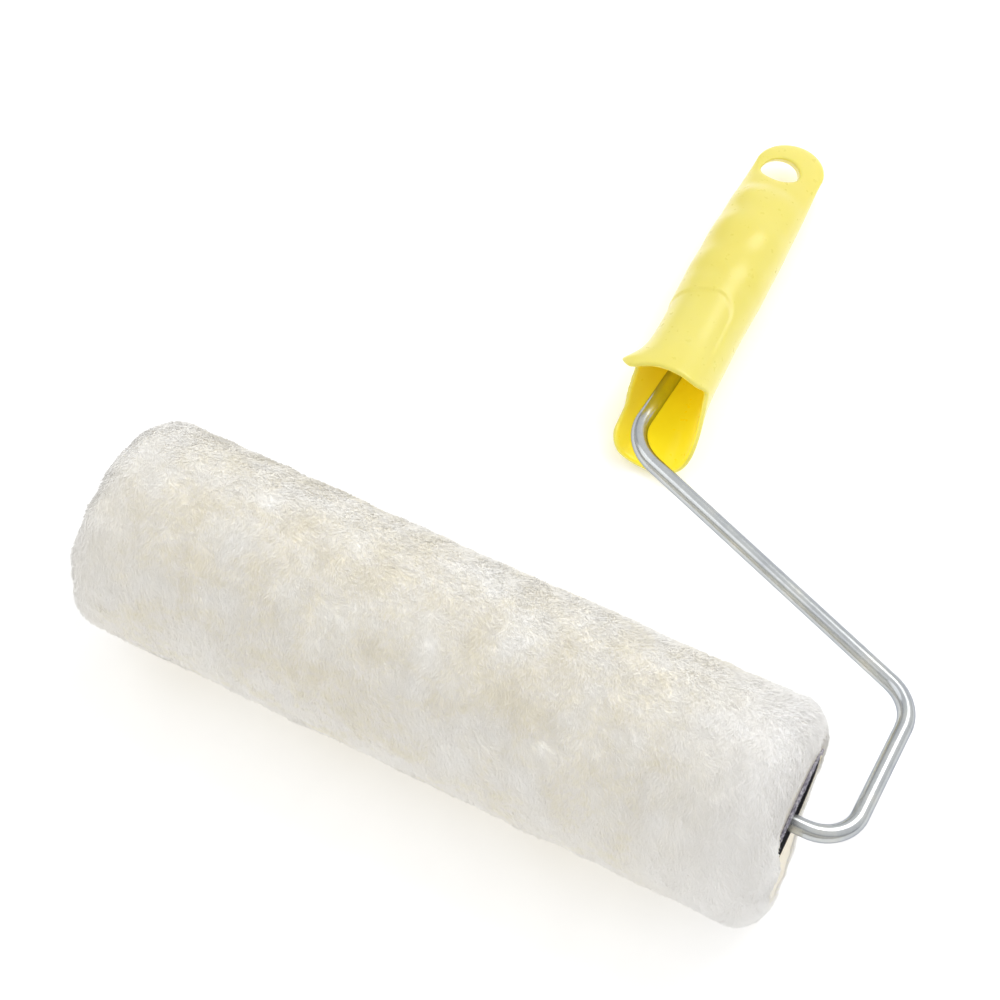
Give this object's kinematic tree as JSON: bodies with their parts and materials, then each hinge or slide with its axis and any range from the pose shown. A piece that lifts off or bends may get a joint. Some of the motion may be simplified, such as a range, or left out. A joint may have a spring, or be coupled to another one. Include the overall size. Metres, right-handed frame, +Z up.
{
  "type": "paint roller",
  "caption": "Hand paint roller: deep-pile sleeve spinning on a bent wire frame with a moulded plastic handle that has a hanging hole.",
  "frame": {"origin": "on the table, under the middle of the tool as it lies on its pile and its handle", "axes": "+Z up, +X along the roller's axis towards the wire's side, +Y from the roller to the handle"},
  "size_m": [0.2698, 0.3278, 0.076],
  "materials": {
    "handle_plastic": "glossy",
    "zinc_wire": "bright zinc plate",
    "washer_steel": "satin",
    "spring_steel": "dark oiled",
    "core_tube": "smooth",
    "backing": "woven, frayed at the edge",
    "pile": "deep soft pile",
    "cap_plastic": "matte",
    "bush_plastic": "smooth"
  },
  "bodies": {
    "frame": {"handle": "handle_plastic", "wire_frame": "zinc_wire", "inner_thrust_washer": "washer_steel", "outer_thrust_washer": "washer_steel", "push_on_clip": "spring_steel"},
    "roller": {"core_tube": "core_tube", "fabric_backing": "backing", "wool_pile": "pile", "near_end_cap": "cap_plastic", "far_end_cap": "cap_plastic", "near_bush": "bush_plastic", "far_bush": "bush_plastic"}
  },
  "joints": [
    {"name": "roller_spin", "type": "hinge", "parent": "frame", "child": "roller", "pos_m": [-0.00988, -0.1259, 0.038], "axis": [1, 0, 0], "continuous": true}
  ]
}
